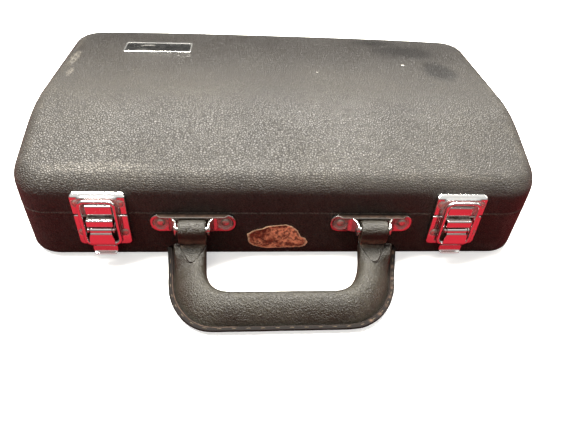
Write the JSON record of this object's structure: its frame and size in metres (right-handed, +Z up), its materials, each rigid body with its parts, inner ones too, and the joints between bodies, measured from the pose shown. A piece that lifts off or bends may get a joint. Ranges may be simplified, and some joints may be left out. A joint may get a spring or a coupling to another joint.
{
  "type": "instrument carrying case",
  "caption": "Hard-shell carrying case for a small woodwind: sloped lid on rear hinges, chrome draw latches, padded swing handle, plush fitted tray with wells.",
  "frame": {"origin": "centre of the case's flat underside, on the surface that it lies on", "axes": "+X to the right seen from the handle side, along the case's length; +Y from the handle side to the hinges; +Z up"},
  "size_m": [0.35, 0.2727, 0.0931],
  "materials": {
    "shell_base": "moulded ABS with a fine pebbled leather grain, satin, worn along the edges",
    "shell_lid": "moulded ABS with a fine pebbled leather grain, satin, scuffed and stained",
    "rim": "plain satin plastic",
    "plush": "short-pile plush",
    "hinge_steel": "nickel-plated sheet steel",
    "pin_steel": "plain steel wire",
    "rivet": "nickel-plated, slightly dull",
    "latch_chrome": "bright chrome plate with fine scratches",
    "bracket_chrome": "bright nickel plate with tarnish along the edges",
    "leatherette": "worn grained leatherette, pale stitching at the edge",
    "core_steel": "mild steel strip",
    "badge": "satin frame with a black enamel field, blank",
    "paper": "torn brown paper, pale at the torn edge"
  },
  "bodies": {
    "base": {"lower_shell": "shell_base", "rim_strip": "rim", "tray_lower_joint": "plush", "tray_barrel": "plush", "tray_upper_joint": "plush", "tray_mouthpiece": "plush", "tray_bell_corner": "plush", "tray_box_corner": "plush", "hinge_left_base_leaf": "hinge_steel", "hinge_left_pin": "pin_steel", "hinge_right_base_leaf": "hinge_steel", "hinge_right_pin": "pin_steel", "hinge_rivets_base": "rivet", "latch_left_plate": "latch_chrome", "latch_left_pin": "pin_steel", "latch_right_plate": "latch_chrome", "latch_right_pin": "pin_steel", "latch_rivets": "rivet", "handle_left_bracket": "bracket_chrome", "handle_left_pin": "pin_steel", "handle_right_bracket": "bracket_chrome", "handle_right_pin": "pin_steel", "bracket_rivets": "rivet", "paper_label": "paper"},
    "lid": {"upper_shell": "shell_lid", "lid_lining": "plush", "hinge_left_lid_leaf": "hinge_steel", "hinge_right_lid_leaf": "hinge_steel", "hinge_rivets_lid": "rivet", "latch_left_strike": "latch_chrome", "latch_right_strike": "latch_chrome", "strike_rivets": "rivet", "name_plate": "badge"},
    "lever_left": {"latch_left_lever": "latch_chrome"},
    "bail_left": {"latch_left_bail": "latch_chrome"},
    "lever_right": {"latch_right_lever": "latch_chrome"},
    "bail_right": {"latch_right_bail": "latch_chrome"},
    "handle": {"handle_grip": "leatherette", "handle_core": "core_steel", "handle_left_strap": "leatherette", "handle_right_strap": "leatherette"}
  },
  "joints": [
    {"name": "lid_hinge", "type": "hinge", "parent": "base", "child": "lid", "pos_m": [0, 0.1021, 0.0389], "axis": [-1, 0, 0], "range_deg": [0, 105]},
    {"name": "left_latch_lever", "type": "hinge", "parent": "base", "child": "lever_left", "pos_m": [-0.118, -0.1065, 0.03], "axis": [-1, 0, 0], "range_deg": [0, 95]},
    {"name": "left_latch_bail", "type": "hinge", "parent": "lever_left", "child": "bail_left", "pos_m": [-0.118, -0.1064, 0.0188], "axis": [-1, 0, 0], "range_deg": [-118.75, 0]},
    {"name": "right_latch_lever", "type": "hinge", "parent": "base", "child": "lever_right", "pos_m": [0.118, -0.1065, 0.03], "axis": [-1, 0, 0], "range_deg": [0, 95]},
    {"name": "right_latch_bail", "type": "hinge", "parent": "lever_right", "child": "bail_right", "pos_m": [0.118, -0.1064, 0.0188], "axis": [-1, 0, 0], "range_deg": [-118.75, 0]},
    {"name": "handle_swing", "type": "hinge", "parent": "base", "child": "handle", "pos_m": [0, -0.1091, 0.0325], "axis": [-1, 0, 0], "range_deg": [-8, 115]}
  ],
  "couplings": [
    {"joint": "left_latch_bail", "follows": "left_latch_lever", "ratio": -1.25},
    {"joint": "right_latch_bail", "follows": "right_latch_lever", "ratio": -1.25}
  ]
}
